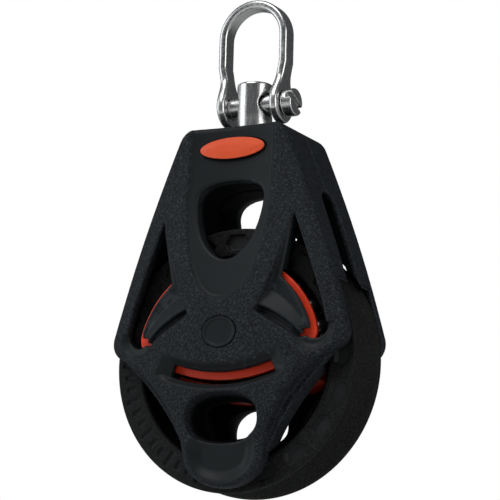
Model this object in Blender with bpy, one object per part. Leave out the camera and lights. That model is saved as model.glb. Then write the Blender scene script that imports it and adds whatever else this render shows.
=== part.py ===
"""Single sheave swivel block, 40 mm, on ball bearings, hung from a shackle.

Axes: Z up along the load line, Y along the sheave's axle line (the front cheek is at -Y), X across.
The origin is at the top of the shackle's loop, where the block hangs. Lengths below are in millimetres.
"""
import bmesh
import bpy
import numpy as np
from math import atan2, cos, pi, radians, sin, sqrt
from mathutils import Matrix, Vector

MM = 0.001

# Driving dimensions
SHEAVE_RADIUS = 20.0
SHEAVE_WIDTH = 9.2
LOOP_TOP = 55.6           # top of the shackle's loop, above the sheave's centre
GAP = 0.3                 # clearance kept between pieces that touch

# Bearing: two rows of balls run round a D-shaped track
BALL_RADIUS = 1.6
BALLS_IN_ROW = 19
ROW_Y = 3.0
TRACK_RADIUS = 13.9       # ball centres on the loaded upper arc
RETURN_RADIUS = 23.6      # ball centres on the flatter return track
RETURN_CENTRE = 21.6
CORNER_RADIUS = 2.2
RACE_CLEARANCE = 0.12
CORE_Y = 5.9
FLANGE_Y = 6.2
FLANGE_THICK = 0.7
FLANGE_LIP = 1.4
GUIDE_THICK = 2.0
GUIDE_HALF_ANGLE = radians(26.0)
BORE_RADIUS = TRACK_RADIUS + BALL_RADIUS + RACE_CLEARANCE

# Sheave
GROOVE_RADIUS = 16.9
GROOVE_LIP = 0.7
RIM_POCKETS = 20
POCKET_RADIUS = 17.9
POCKET_LENGTH = 3.9
POCKET_HEIGHT = 2.3
POCKET_DEPTH = 0.7

# Cheeks
CHEEK_INNER_Y = 5.3
CHEEK_EDGE_Y = 7.2
HUB_Y = 9.8
HUB_Z = 3.4
HEAD_TOP = 35.7
HEAD_BOTTOM = 26.2
HEAD_SLOPE = 0.6
HEAD_CORNER = 3.1
HEAD_HALF_WIDTH = 9.45
FLANK_HANDLE = (15.8, 18.3)
SHOULDER = (17.2, 3.0)
SHOULDER_CORNER = 2.6
COVE_HANDLE = (9.6, -3.8)
TONGUE_HALF_WIDTH = 6.7
TONGUE_Z = -14.2
TONGUE_TIP = -19.5
SIDE_WINDOW_APEX = (10.9, 21.0)
SIDE_WINDOW_FOOT = (14.7, 4.0)
SIDE_WINDOW_CORNER = 2.0
SIDE_WINDOW_REACH = 13.6   # how near a side window comes to the sheave's centre
SLOT_HALF_WIDTH = 8.6
SLOT_HALF_HEIGHT = 0.95
SLOT_SAG_RADIUS = 24.0
SLOT_BOTTOM = -3.3
HOLE_Z = -9.2
HOLE_HALF_WIDTH = 6.0
HOLE_HALF_HEIGHT = 3.7
BADGE_Z = 32.0
BADGE_HALF = (5.5, 1.65)
BADGE_THICK = 0.45
DISC_HALF = (2.75, 2.3)
DISC_THICK = 0.4

# Swivel post
POST_RADIUS = 2.75
POST_TOP = 43.6
POST_NECK_RADIUS = 2.0
POST_END = 28.0
POST_STEP = 31.6
CAVITY_RADIUS = 4.9
CAVITY = (27.6, 32.0)
WASHER_RADIUS = 4.1
WASHER = (30.4, 31.3)
NUT_ACROSS_CORNERS = 7.6
NUT = (28.2, 30.1)
CROSS_HOLE_RADIUS = 1.95

# Shackle
PIN_Z = 40.2
PIN_RADIUS = 1.6
PIN_HEAD_RADIUS = 2.15
PIN_HEAD_END = 7.2
DRIVE_SLOT = 0.9
BOW_THICK = 1.35
BOW_DEPTH = 3.0
BOW_HALF_WIDTH = 5.9
EYE_RADIUS = 3.1
EYE_OUTER_X = 5.4

# Screws, fitted from the rear
SCREW_RADIUS = 0.9
SCREW_HEAD_RADIUS = 1.7
SCREW_HEAD_THICK = 1.1
HEAD_SCREW = (7.4, 29.6)

COLOURS = {
    "black_nylon": ((0.030, 0.032, 0.034), 0.55, 0.0),
    "sheave_nylon": ((0.038, 0.038, 0.037), 0.50, 0.0),
    "red_acetal": ((0.72, 0.055, 0.020), 0.40, 0.0),
    "grey_ball": ((0.045, 0.045, 0.048), 0.25, 0.0),
    "badge_red": ((0.80, 0.070, 0.025), 0.35, 0.0),
    "stainless": ((0.62, 0.61, 0.59), 0.25, 1.0),
}


def clear_scene():
    for old in list(bpy.data.objects):
        bpy.data.objects.remove(old)


def material(name):
    found = bpy.data.materials.get(name)
    if found:
        return found
    colour, roughness, metallic = COLOURS[name]
    made = bpy.data.materials.new(name)
    made.use_nodes = True
    shader = made.node_tree.nodes["Principled BSDF"]
    shader.inputs["Base Color"].default_value = (*colour, 1.0)
    shader.inputs["Roughness"].default_value = roughness
    shader.inputs["Metallic"].default_value = metallic
    return made


def frame_point(x, y, z):
    """A point given from the sheave's centre, in the part's own frame, in metres."""
    return Vector((x, y, z - LOOP_TOP)) * MM


def new_object(name, bm, finish, smooth=True):
    mesh = bpy.data.meshes.new(name)
    bmesh.ops.recalc_face_normals(bm, faces=bm.faces)
    bm.to_mesh(mesh)
    bm.free()
    obj = bpy.data.objects.new(name, mesh)
    bpy.context.scene.collection.objects.link(obj)
    mesh.materials.append(material(finish))
    if smooth:
        mesh.shade_smooth()
        mesh.set_sharp_from_angle(angle=radians(35.0))
    return obj


def set_origin(obj, point):
    """Puts the object's origin on a joint's axis and leaves its shape where it is."""
    obj.data.transform(Matrix.Translation(-point))
    obj.location = point


def prism(outline, y_from, y_to):
    """A closed bmesh: the (x, z) outline extruded along Y."""
    bm = bmesh.new()
    rings = []
    for y in (y_from, y_to):
        rings.append([bm.verts.new(frame_point(x, y, z)) for x, z in outline])
    count = len(outline)
    for i in range(count):
        j = (i + 1) % count
        bm.faces.new((rings[0][i], rings[0][j], rings[1][j], rings[1][i]))
    bm.faces.new(rings[0])
    bm.faces.new(rings[1])
    return bm


def turned(profile, segments, axis, centre_z=0.0):
    """A closed bmesh: the closed (radius, along) profile turned about an axis through z = centre_z."""
    bm = bmesh.new()
    rings = []
    for i in range(segments):
        a = 2.0 * pi * i / segments
        ring = []
        for radius, along in profile:
            u, v = radius * cos(a), radius * sin(a)
            place = {"X": (along, u, v + centre_z), "Y": (u, along, v + centre_z), "Z": (u, v, along)}[axis]
            ring.append(bm.verts.new(frame_point(*place)))
        rings.append(ring)
    count = len(profile)
    for i in range(segments):
        k = (i + 1) % segments
        for j in range(count):
            m = (j + 1) % count
            corners = (rings[i][j], rings[i][m], rings[k][m], rings[k][j])
            bm.faces.new(corners)
    bmesh.ops.remove_doubles(bm, verts=bm.verts, dist=1e-7)
    flat = [f for f in bm.faces if f.calc_area() < 1e-14]
    bmesh.ops.delete(bm, geom=flat, context="FACES_ONLY")
    return bm


def cut(obj, cutters, operation="DIFFERENCE"):
    """Takes the cutters from the object with exact Booleans, one after another."""
    for bm in cutters:
        number = len(obj.modifiers) + 1
        tool = new_object(f"cutter_{obj.name}_{number}", bm, "black_nylon", smooth=False)
        tool.hide_render = True
        tool.display_type = "WIRE"
        step = obj.modifiers.new(f"{operation.lower()}_{number}", "BOOLEAN")
        step.object = tool
        step.operation = operation
        step.solver = "EXACT"


def arc(centre, radius, start, end, count):
    """Points on a circle, from the start angle to the end angle in degrees."""
    angles = np.radians(np.linspace(start, end, count))
    return [(centre[0] + radius * cos(a), centre[1] + radius * sin(a)) for a in angles]


def ellipse(centre, half_width, half_height, count, power=2.0):
    """A closed outline, squarer than an ellipse where power is over 2."""
    points = []
    for i in range(count):
        a = 2.0 * pi * (i + 0.5) / count
        c, s = cos(a), sin(a)
        reach = (abs(c) ** power + abs(s) ** power) ** (-1.0 / power)
        points.append((centre[0] + half_width * c * reach, centre[1] + half_height * s * reach))
    return points


def bezier(start, handle, end, count):
    """Points on a quadratic curve, ends included."""
    points = []
    for t in np.linspace(0.0, 1.0, count):
        a, b, c = (1 - t) ** 2, 2 * t * (1 - t), t * t
        points.append(tuple(a * p + b * q + c * r for p, q, r in zip(start, handle, end)))
    return points


# ---- Bearing ----

def corner_centre():
    """The centre of the small arc that joins the D's loaded arc to its return track."""
    reach_upper = TRACK_RADIUS - CORNER_RADIUS
    reach_return = RETURN_RADIUS - CORNER_RADIUS
    z = (reach_upper ** 2 - reach_return ** 2 + RETURN_CENTRE ** 2) / (2.0 * RETURN_CENTRE)
    return sqrt(reach_upper ** 2 - z ** 2), z


def d_outline(offset, upper_count=25, corner_count=5, return_count=13):
    """The D-shaped track moved out by offset, anticlockwise from its right corner."""
    x, z = corner_centre()
    upper = np.degrees(atan2(z, x))
    lower = np.degrees(atan2(z - RETURN_CENTRE, x))
    small = CORNER_RADIUS + offset
    points = arc((0, 0), TRACK_RADIUS + offset, upper, 180 - upper, upper_count)
    points += arc((-x, z), small, 180 - upper, 180 - lower, corner_count)[1:-1]
    points += arc((0, RETURN_CENTRE), RETURN_RADIUS + offset, -180 - lower, lower, return_count)
    points += arc((x, z), small, lower, upper, corner_count)[1:-1]
    return points


def along_track(count):
    """Evenly spaced ball centres round the D."""
    path = np.array(d_outline(0.0, 200, 60, 160))
    closed = np.vstack([path, path[:1]])
    lengths = np.concatenate([[0.0], np.cumsum(np.hypot(*np.diff(closed, axis=0).T))])
    at = np.arange(count) * lengths[-1] / count
    return list(zip(np.interp(at, lengths, closed[:, 0]), np.interp(at, lengths, closed[:, 1])))


def guide_outline():
    """The rail that holds the returning balls up, as an arc-shaped strip."""
    inner = RETURN_RADIUS + BALL_RADIUS + RACE_CLEARANCE
    half = np.degrees(GUIDE_HALF_ANGLE)
    rail = arc((0, RETURN_CENTRE), inner, -90 - half, -90 + half, 13)
    rail += arc((0, RETURN_CENTRE), inner + GUIDE_THICK, -90 + half, -90 - half, 13)
    return rail


def make_bearing():
    core = d_outline(-BALL_RADIUS - RACE_CLEARANCE)
    core_obj = new_object("race_core", prism(core, -CORE_Y, CORE_Y), "red_acetal")
    cut(core_obj, [rod("Y", 0.0, HUB_Z, SCREW_RADIUS + GAP, -CORE_Y - 1, CORE_Y + 1)])
    for name, side in (("front_race_flange", -1), ("rear_race_flange", 1)):
        outer = side * (FLANGE_Y + FLANGE_THICK)
        flange = new_object(name, prism(d_outline(FLANGE_LIP), side * FLANGE_Y, outer), "red_acetal")
        cut(flange, [rod("Y", 0.0, HUB_Z, SCREW_RADIUS + GAP, -CORE_Y - 2, CORE_Y + 2)])
    reach = CHEEK_INNER_Y - GAP
    new_object("ball_guide", prism(guide_outline(), -reach, reach), "red_acetal")
    centres = along_track(BALLS_IN_ROW)
    shape = None
    for row, y in (("front", -ROW_Y), ("rear", ROW_Y)):
        for number, (x, z) in enumerate(centres, start=1):
            if shape is None:
                bm = bmesh.new()
                bmesh.ops.create_icosphere(bm, subdivisions=2, radius=BALL_RADIUS * MM)
                ball = new_object(f"{row}_ball_{number:02d}", bm, "grey_ball")
                shape = ball.data
            else:
                ball = bpy.data.objects.new(f"{row}_ball_{number:02d}", shape)
                bpy.context.scene.collection.objects.link(ball)
            ball.location = frame_point(x, y, z)


def rod(axis, across, z, radius, start, end, segments=20):
    """A cutting cylinder along Y at x = across, or along X or Z through the middle."""
    bm = bmesh.new()
    length = (end - start) * MM
    turn = {"X": Matrix.Rotation(pi / 2, 4, "Y"), "Y": Matrix.Rotation(pi / 2, 4, "X"), "Z": Matrix.Identity(4)}
    middle = (start + end) / 2.0
    place = {"X": (middle, 0.0, z), "Y": (across, middle, z), "Z": (0.0, 0.0, middle)}[axis]
    where = Matrix.Translation(frame_point(*place)) @ turn[axis]
    bmesh.ops.create_cone(bm, cap_ends=True, segments=segments, radius1=radius * MM, radius2=radius * MM,
                          depth=length, matrix=where)
    return bm


# ---- Sheave ----

def make_sheave():
    half = SHEAVE_WIDTH / 2.0
    lip = half - GROOVE_LIP
    groove = [(GROOVE_RADIUS + (SHEAVE_RADIUS - GROOVE_RADIUS) * (y / lip) ** 2, y)
              for y in np.linspace(lip, -lip, 9)]
    profile = [(BORE_RADIUS, -half), (SHEAVE_RADIUS - 0.3, -half), *reversed(groove),
               (SHEAVE_RADIUS - 0.3, half), (BORE_RADIUS, half)]
    sheave = new_object("sheave", turned(profile, 72, "Y"), "sheave_nylon")
    pockets = bmesh.new()
    for side in (-1, 1):
        for i in range(RIM_POCKETS):
            a = 2.0 * pi * i / RIM_POCKETS
            long, tall = POCKET_LENGTH / 2.0, POCKET_HEIGHT / 2.0
            corners = [(-long, 0), (-long * 0.6, tall), (long * 0.6, tall),
                       (long, 0), (long * 0.6, -tall), (-long * 0.6, -tall)]
            outline = []
            for along, out in corners:
                r = POCKET_RADIUS + out
                outline.append((r * cos(a) - along * sin(a), r * sin(a) + along * cos(a)))
            one = prism(outline, side * (half - POCKET_DEPTH), side * (half + 0.5))
            bmesh.ops.recalc_face_normals(one, faces=one.faces)
            copy = bpy.data.meshes.new("pocket")
            one.to_mesh(copy)
            one.free()
            pockets.from_mesh(copy)
    cut(sheave, [pockets])
    set_origin(sheave, frame_point(0, 0, 0))


# ---- Cheeks ----

def cheek_outline():
    """Half-width and height down one side of a cheek, from the head's top to the tongue's tip."""
    head = arc((HEAD_HALF_WIDTH - HEAD_CORNER, HEAD_TOP - HEAD_CORNER), HEAD_CORNER, 90, 23, 5)
    shoulder = arc(SHOULDER, SHOULDER_CORNER, 15, -66, 6)
    flank = bezier(head[-1], FLANK_HANDLE, shoulder[0], 9)[1:-1]
    cove = bezier(shoulder[-1], COVE_HANDLE, (TONGUE_HALF_WIDTH + 0.3, TONGUE_Z + 1.8), 7)[1:]
    tip = [(TONGUE_HALF_WIDTH * cos(a), TONGUE_Z + (TONGUE_TIP - TONGUE_Z) * sin(a))
           for a in np.linspace(0.0, 1.45, 6)]
    return head + flank + shoulder + cove + tip


def crown(z):
    """How far the middle of a cheek's outer face stands from the block's mid-plane."""
    heights = (TONGUE_TIP, HOLE_Z, SLOT_BOTTOM, HUB_Z, 8.6, HEAD_BOTTOM, HEAD_TOP)
    reach = (7.4, 8.6, 9.4, HUB_Y, 9.2, 7.7, CHEEK_EDGE_Y)
    return float(np.interp(z, heights, reach))


def cheek_stations():
    """Half-width, height and inner face's depth down a cheek: deep in the head, then a plate beside the sheave."""
    outline = cheek_outline()
    heights = [-z for _, z in outline]
    halves = [half for half, _ in outline]
    head = [(half, z, GAP / 2.0) for half, z in outline if z > HEAD_BOTTOM]
    plate = [(half, z, CHEEK_INNER_Y) for half, z in outline if z < HEAD_BOTTOM - HEAD_SLOPE]
    floor = float(np.interp(-HEAD_BOTTOM, heights, halves))
    edge = float(np.interp(HEAD_SLOPE - HEAD_BOTTOM, heights, halves))
    return head + [(floor, HEAD_BOTTOM, GAP / 2.0), (edge, HEAD_BOTTOM - HEAD_SLOPE, CHEEK_INNER_Y)] + plate


def cheek_body(side):
    """The crowned shell of one cheek with its half of the head, lofted from top to tip."""
    shares = (-1.0, -0.7, -0.35, 0.0, 0.35, 0.7, 1.0)
    bm = bmesh.new()
    rings = []
    for half, z, inner in cheek_stations():
        reach = crown(z)
        y_out = [CHEEK_EDGE_Y + (reach - CHEEK_EDGE_Y) * (1 - abs(s) ** 2.5) for s in shares]
        ring = [bm.verts.new(frame_point(half * s, side * y, z)) for s, y in zip(shares, y_out)]
        ring += [bm.verts.new(frame_point(half * s, side * inner, z)) for s in reversed(shares)]
        rings.append(ring)
    for upper, lower in zip(rings, rings[1:]):
        for j in range(len(upper)):
            k = (j + 1) % len(upper)
            bm.faces.new((upper[j], upper[k], lower[k], lower[j]))
    bm.faces.new(rings[0])
    bm.faces.new(rings[-1])
    return bm


def window_outline():
    """The teardrop window under the badge, as an anticlockwise outline."""
    top, foot, wide = 26.9, 14.8, 5.5
    left = bezier((-wide, 24.0), (-5.2, 17.6), (-1.4, 15.1), 6)
    base = bezier((-1.4, 15.1), (0.0, foot - 0.4), (1.4, 15.1), 4)[1:]
    right = bezier((1.4, 15.1), (5.2, 17.6), (wide, 24.0), 6)[1:]
    crown_line = bezier((wide, 24.0), (wide, top), (0.0, top), 5)[1:]
    crown_line += bezier((0.0, top), (-wide, top), (-wide, 24.0), 5)[1:-1]
    return left + base + right + crown_line


def side_window(sign):
    """The tall triangular window between the outer strut and the hub."""
    outer = bezier(SIDE_WINDOW_APEX, (14.1, 13.0), (15.9, 7.6), 4)
    foot = arc(SIDE_WINDOW_FOOT, SIDE_WINDOW_CORNER, 5, -155, 7)
    inner = arc((0.0, 0.0), SIDE_WINDOW_REACH, 14, 44, 4)
    return [(sign * x, z) for x, z in outer + foot + inner]


def slot_outline():
    """The curved slot across the hub, hollow side up."""
    centre = (0.0, SLOT_BOTTOM + SLOT_SAG_RADIUS)
    half = np.degrees(SLOT_HALF_WIDTH / SLOT_SAG_RADIUS)
    low = arc(centre, SLOT_SAG_RADIUS + SLOT_HALF_HEIGHT, -90 - half, -90 + half, 11)
    high = arc(centre, SLOT_SAG_RADIUS - SLOT_HALF_HEIGHT, -90 + half, -90 - half, 11)
    return low + high


def make_cheek(name, side):
    cheek = new_object(name, cheek_body(side), "black_nylon")
    outside, inside = side * (HUB_Y + 2.0), side * (CHEEK_INNER_Y - 0.6)
    pocket = side * (FLANGE_Y + FLANGE_THICK + GAP)
    race_pocket = prism(d_outline(FLANGE_LIP + GAP), inside, pocket)
    cutters = [
        race_pocket,
        prism(window_outline(), inside, outside),
        prism(side_window(-1), inside, outside),
        prism(side_window(1), inside, outside),
        prism(slot_outline(), inside, outside),
        prism(ellipse((0.0, HOLE_Z), HOLE_HALF_WIDTH, HOLE_HALF_HEIGHT, 24, 2.4), inside, outside),
        rod("Z", 0.0, 0.0, POST_RADIUS + GAP, CAVITY[1] - 1.0, HEAD_TOP + 1.0, 28),
        rod("Z", 0.0, 0.0, CAVITY_RADIUS, *CAVITY, 28),
    ]
    badge_floor = side * (CHEEK_EDGE_Y - BADGE_THICK - GAP / 2.0)
    badge_half = [h + GAP for h in BADGE_HALF]
    cutters.append(prism(ellipse((0.0, BADGE_Z), *badge_half, 28), badge_floor, outside))
    disc_floor = side * (HUB_Y - DISC_THICK - GAP)
    disc_half = [h + GAP for h in DISC_HALF]
    cutters.append(prism(ellipse((0.0, HUB_Z), *disc_half, 28), disc_floor, outside))
    cutters += screw_holes(side)
    cut(cheek, cutters)


# ---- Screws ----

def screw_places():
    """Name, x, z, and where the head's outer face and the shank's end stand along Y."""
    x, z = HEAD_SCREW
    disc_floor = HUB_Y - DISC_THICK - GAP
    return [
        ("head_screw_left", -x, z, CHEEK_EDGE_Y - 0.2, -4.9),
        ("head_screw_right", x, z, CHEEK_EDGE_Y - 0.2, -4.9),
        ("hub_screw", 0.0, HUB_Z, disc_floor - GAP, -8.0),
    ]


def screw_holes(side):
    cutters = []
    for _, x, z, head, end in screw_places():
        if side > 0:
            floor = head - SCREW_HEAD_THICK - GAP
            cutters.append(rod("Y", x, z, SCREW_HEAD_RADIUS + GAP, floor, HUB_Y + 2.0))
            cutters.append(rod("Y", x, z, SCREW_RADIUS + GAP, -0.5, floor + 0.5))
        else:
            cutters.append(rod("Y", x, z, SCREW_RADIUS + GAP, end - GAP, 0.5))
    return cutters


def make_screws():
    for name, x, z, head, end in screw_places():
        under = head - SCREW_HEAD_THICK
        profile = [(0.0, head), (SCREW_HEAD_RADIUS, head), (SCREW_HEAD_RADIUS, under),
                   (SCREW_RADIUS, under), (SCREW_RADIUS, end), (0.0, end)]
        screw = new_object(name, turned(profile, 20, "Y", 0.0), "stainless")
        screw.location = Vector((x, 0.0, z)) * MM
        groove = rod("X", 0.0, 0.0, 0.3, -SCREW_HEAD_RADIUS - 1, SCREW_HEAD_RADIUS + 1, 4)
        bmesh.ops.translate(groove, verts=groove.verts, vec=Vector((x, head, z)) * MM)
        cut(screw, [groove])


# ---- Trim ----

def make_trim():
    for name, side in (("front_badge", -1), ("rear_badge", 1)):
        floor = CHEEK_EDGE_Y - BADGE_THICK
        bm = prism(ellipse((0.0, BADGE_Z), *BADGE_HALF, 28), side * (floor + GAP / 2), side * CHEEK_EDGE_Y)
        new_object(name, bm, "badge_red")
    for name, side in (("front_hub_disc", -1), ("rear_hub_disc", 1)):
        floor = HUB_Y - DISC_THICK
        bm = prism(ellipse((0.0, HUB_Z), *DISC_HALF, 28), side * floor, side * HUB_Y)
        new_object(name, bm, "black_nylon")


# ---- Swivel post ----

def make_post():
    profile = [(0.0, POST_TOP), (POST_RADIUS - 0.35, POST_TOP), (POST_RADIUS, POST_TOP - 0.35),
               (POST_RADIUS, POST_STEP), (POST_NECK_RADIUS, POST_STEP), (POST_NECK_RADIUS, POST_END),
               (0.0, POST_END)]
    post = new_object("swivel_post", turned(profile, 32, "Z"), "stainless")
    cut(post, [rod("X", 0.0, PIN_Z, CROSS_HOLE_RADIUS, -POST_RADIUS - 1, POST_RADIUS + 1, 24)])
    bore = POST_NECK_RADIUS + GAP
    ring = [(WASHER_RADIUS, WASHER[0]), (WASHER_RADIUS, WASHER[1]), (bore, WASHER[1]), (bore, WASHER[0])]
    washer = new_object("thrust_washer", turned(ring, 28, "Z"), "stainless")
    corner = NUT_ACROSS_CORNERS / 2.0
    nut = new_object("post_nut", rod("Z", 0.0, 0.0, corner, *NUT, 6), "stainless", smooth=False)
    cut(nut, [rod("Z", 0.0, 0.0, bore, NUT[0] - 1, NUT[1] + 1, 24)])
    for moving in (post, washer, nut):
        set_origin(moving, frame_point(0, 0, PIN_Z))


# ---- Shackle ----

def bow_path():
    """The middle of the bow's strip as (x, z), from the right eye over the top to the left eye."""
    mid = BOW_HALF_WIDTH - BOW_THICK / 2.0
    eye_x = EYE_OUTER_X - BOW_THICK / 2.0
    top_centre = LOOP_TOP + BOW_THICK / 2.0 - mid
    leg = [(eye_x, PIN_Z - EYE_RADIUS), (eye_x, PIN_Z + EYE_RADIUS * 0.6)]
    bend = bezier(leg[-1], (mid, PIN_Z + EYE_RADIUS + 0.5), (mid, PIN_Z + EYE_RADIUS + 3.2), 4)[1:]
    over = arc((0.0, top_centre), mid, 0, 180, 17)
    right = leg + bend
    left = [(-x, z) for x, z in reversed(right)]
    return right + over + left


def strap(path):
    """A closed strip of the bow's thickness along a path of points in the XZ plane."""
    bm = bmesh.new()
    points = [np.array(p) for p in path]
    rings = []
    for i, here in enumerate(points):
        ahead = points[min(i + 1, len(points) - 1)] - points[max(i - 1, 0)]
        ahead /= np.linalg.norm(ahead)
        across = np.array([ahead[1], -ahead[0]]) * BOW_THICK / 2.0
        half = BOW_DEPTH / 2.0
        ring = []
        for side, y in ((1, -half), (1, half), (-1, half), (-1, -half)):
            x, z = here + side * across
            ring.append(bm.verts.new(frame_point(x, y, z)))
        rings.append(ring)
    for a, b in zip(rings, rings[1:]):
        for j in range(4):
            k = (j + 1) % 4
            bm.faces.new((a[j], a[k], b[k], b[j]))
    bm.faces.new(rings[0])
    bm.faces.new(rings[-1])
    return bm


def make_shackle():
    path = [p for p in bow_path() if p[1] > PIN_Z]
    bow = new_object("shackle_bow", strap(path), "stainless")
    inner = EYE_OUTER_X - BOW_THICK
    eyes = [rod("X", 0.0, PIN_Z, EYE_RADIUS, s * inner, s * EYE_OUTER_X, 32) for s in (-1, 1)]
    cut(bow, eyes, "UNION")
    hole = rod("X", 0.0, PIN_Z, PIN_RADIUS + GAP, -EYE_OUTER_X - 1, EYE_OUTER_X + 1, 24)
    cut(bow, [hole])
    head = EYE_OUTER_X + GAP
    profile = [(0.0, -EYE_OUTER_X - 0.2), (PIN_RADIUS, -EYE_OUTER_X - 0.2), (PIN_RADIUS, head),
               (PIN_HEAD_RADIUS, head), (PIN_HEAD_RADIUS, PIN_HEAD_END - 0.2),
               (PIN_HEAD_RADIUS - 0.2, PIN_HEAD_END), (0.0, PIN_HEAD_END)]
    pin = new_object("shackle_pin", turned(profile, 24, "X", PIN_Z), "stainless")
    slot = bmesh.new()
    size = Matrix.Diagonal((1.8 * MM, 6.0 * MM, DRIVE_SLOT * MM, 1.0))
    turn = Matrix.Rotation(radians(-32.0), 4, "X")
    where = Matrix.Translation(frame_point(PIN_HEAD_END, 0, PIN_Z))
    bmesh.ops.create_cube(slot, size=1.0, matrix=where @ turn @ size)
    cut(pin, [slot])


clear_scene()
make_shackle()
make_post()
make_sheave()
make_bearing()
make_cheek("front_cheek", -1)
make_cheek("rear_cheek", 1)
make_screws()
make_trim()
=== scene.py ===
"""The looks of the single sheave swivel block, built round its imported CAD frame.

Shapes are given in millimetres from the sheave's centre: X across, Z up along the load line, and for a cheek
D outwards from the block's mid-plane. Each solid is a signed distance, meshed by surface nets.
"""
from math import atan2, cos, pi, radians, sin, sqrt

import bmesh
import bpy
import numpy as np
from mathutils import Matrix, Vector


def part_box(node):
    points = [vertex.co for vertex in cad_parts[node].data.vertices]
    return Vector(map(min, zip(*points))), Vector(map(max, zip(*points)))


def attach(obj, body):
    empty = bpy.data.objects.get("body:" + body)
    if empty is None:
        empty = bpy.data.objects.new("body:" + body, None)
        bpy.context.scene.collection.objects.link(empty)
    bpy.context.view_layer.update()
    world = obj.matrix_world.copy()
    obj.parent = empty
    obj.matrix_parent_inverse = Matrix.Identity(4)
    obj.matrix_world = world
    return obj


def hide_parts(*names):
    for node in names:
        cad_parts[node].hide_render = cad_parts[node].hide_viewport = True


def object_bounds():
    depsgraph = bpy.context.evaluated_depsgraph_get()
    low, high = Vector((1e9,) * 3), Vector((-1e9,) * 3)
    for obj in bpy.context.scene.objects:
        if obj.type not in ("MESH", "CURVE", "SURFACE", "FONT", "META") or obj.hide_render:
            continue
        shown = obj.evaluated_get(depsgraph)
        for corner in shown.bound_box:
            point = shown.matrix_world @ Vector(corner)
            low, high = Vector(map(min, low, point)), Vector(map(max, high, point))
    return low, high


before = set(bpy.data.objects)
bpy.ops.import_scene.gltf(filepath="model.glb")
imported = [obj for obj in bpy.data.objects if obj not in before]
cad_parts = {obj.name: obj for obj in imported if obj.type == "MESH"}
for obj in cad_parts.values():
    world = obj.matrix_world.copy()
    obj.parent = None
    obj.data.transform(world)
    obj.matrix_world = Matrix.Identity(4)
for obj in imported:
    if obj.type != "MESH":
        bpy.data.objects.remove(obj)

cad_low, cad_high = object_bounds()
MM = 0.001

# ---- Sizes read from the frame ----

sheave_low, sheave_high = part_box("sheave")
CENTRE_Z = (sheave_low.z + sheave_high.z) / 2.0 / MM
SHEAVE_RADIUS = (sheave_high.z - sheave_low.z) / 2.0 / MM
SHEAVE_HALF = (sheave_high.y - sheave_low.y) / 2.0 / MM
cheek_low, cheek_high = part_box("rear_cheek")
HEAD_TOP = cheek_high.z / MM - CENTRE_Z
TONGUE_TIP = cheek_low.z / MM - CENTRE_Z
HUB_D = cheek_high.y / MM
SHOULDER_HALF = cheek_high.x / MM
post_low, post_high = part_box("swivel_post")
POST_TOP = post_high.z / MM - CENTRE_Z
POST_RADIUS = post_high.x / MM
POST_END = post_low.z / MM - CENTRE_Z
bow_low, bow_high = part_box("shackle_bow")
BOW_TOP = bow_high.z / MM - CENTRE_Z
BOW_HALF = bow_high.x / MM
EYE_RADIUS = bow_high.y / MM
PIN_Z = bow_low.z / MM - CENTRE_Z + EYE_RADIUS
pin_low, pin_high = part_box("shackle_pin")
PIN_HEAD_END = pin_high.x / MM
PIN_END = pin_low.x / MM
PIN_HEAD_RADIUS = pin_high.y / MM
badge_low, badge_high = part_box("rear_badge")
BADGE_Z = (badge_low.z + badge_high.z) / 2.0 / MM - CENTRE_Z
BADGE_HALF = (badge_high.x / MM, (badge_high.z - badge_low.z) / 2.0 / MM)
BADGE_D = badge_high.y / MM
disc_low, disc_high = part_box("rear_hub_disc")
DISC_Z = (disc_low.z + disc_high.z) / 2.0 / MM - CENTRE_Z
DISC_HALF = (disc_high.x / MM, (disc_high.z - disc_low.z) / 2.0 / MM)
ball_low, ball_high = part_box("rear_ball_01")
BALL_RADIUS = (ball_high.y - ball_low.y) / 2.0 / MM
flange_low, flange_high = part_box("rear_race_flange")
FLANGE_D = (flange_low.y / MM, flange_high.y / MM)
CORE_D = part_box("race_core")[1].y / MM
GUIDE_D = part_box("ball_guide")[1].y / MM

# ---- Sizes that the frame holds as shapes only ----

EDGE_D = 7.1                 # a cheek's outer face at its edge
PLATE_D = 5.3                # a cheek's inner face beside the sheave
STRUT_D = 2.4                # its inner face outside the sheave's rim
TONGUE_D = 3.5               # the tongue's inner face, inside the sheave's bore
LEDGE_D = 6.4                # the outer face of the arms' inner layer
HEAD_D = 0.15                # a cheek's inner face at the parting line of the head
RECESS_RADIUS = 20.6         # the round recess that the sheave turns in
ARCH_Z = 23.2                # where the arch under the head springs from
BOSS_Z = 24.3                # the lowest point of the boss round the post's nut
HEAD_CORNER = 3.1
HEAD_HALF = 9.45
SHOULDER = (17.2, 3.0, 2.6)  # centre and radius of the shoulder's corner
TONGUE_HALF = 6.7
TONGUE_Z = -14.2
HUB_ARC = (-9.45, 17.65)     # centre height and radius of the hub's upper edge
WINDOW_RADIUS = 14.65        # where the side windows end towards the bearing
TRACK_RADIUS = 13.9
RETURN_RADIUS = 23.6
RETURN_CENTRE = 21.6
CORNER_RADIUS = 2.2
RACE_CLEARANCE = 0.12
FLANGE_LIP = 1.4
RACE_TOP = 14.4              # where the race's flanges are cut flat under the teardrop
SLOT_RADIUS = 24.0
SLOT_BOTTOM = -3.3
HOLE_Z = -9.2
BOW_THICK = 1.35
BOW_DEPTH = 3.0
EYE_OUTER = 5.2
PIN_RADIUS = 1.6
BORE_RADIUS = TRACK_RADIUS + BALL_RADIUS + RACE_CLEARANCE
GUIDE_OUTER = 27.32          # the lower face of the ball guide, from the return track's centre
GROOVE_RADIUS = 16.9
POCKETS = 20                 # six-sided pockets round a side face of the sheave
POCKET_RADIUS = 17.9
POCKET_HALF = (1.95, 1.15)   # along the rim and across it
POCKET_DEPTH = 0.7
DASHES = (178.0, 262.0)      # the stretch of the front face with dashes in place of pockets, in degrees
DASH_HALF_WIDTH = 0.32
DASH_HALF_LENGTH = (0.7, 1.15)
DASH_DEPTH = 0.35
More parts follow.
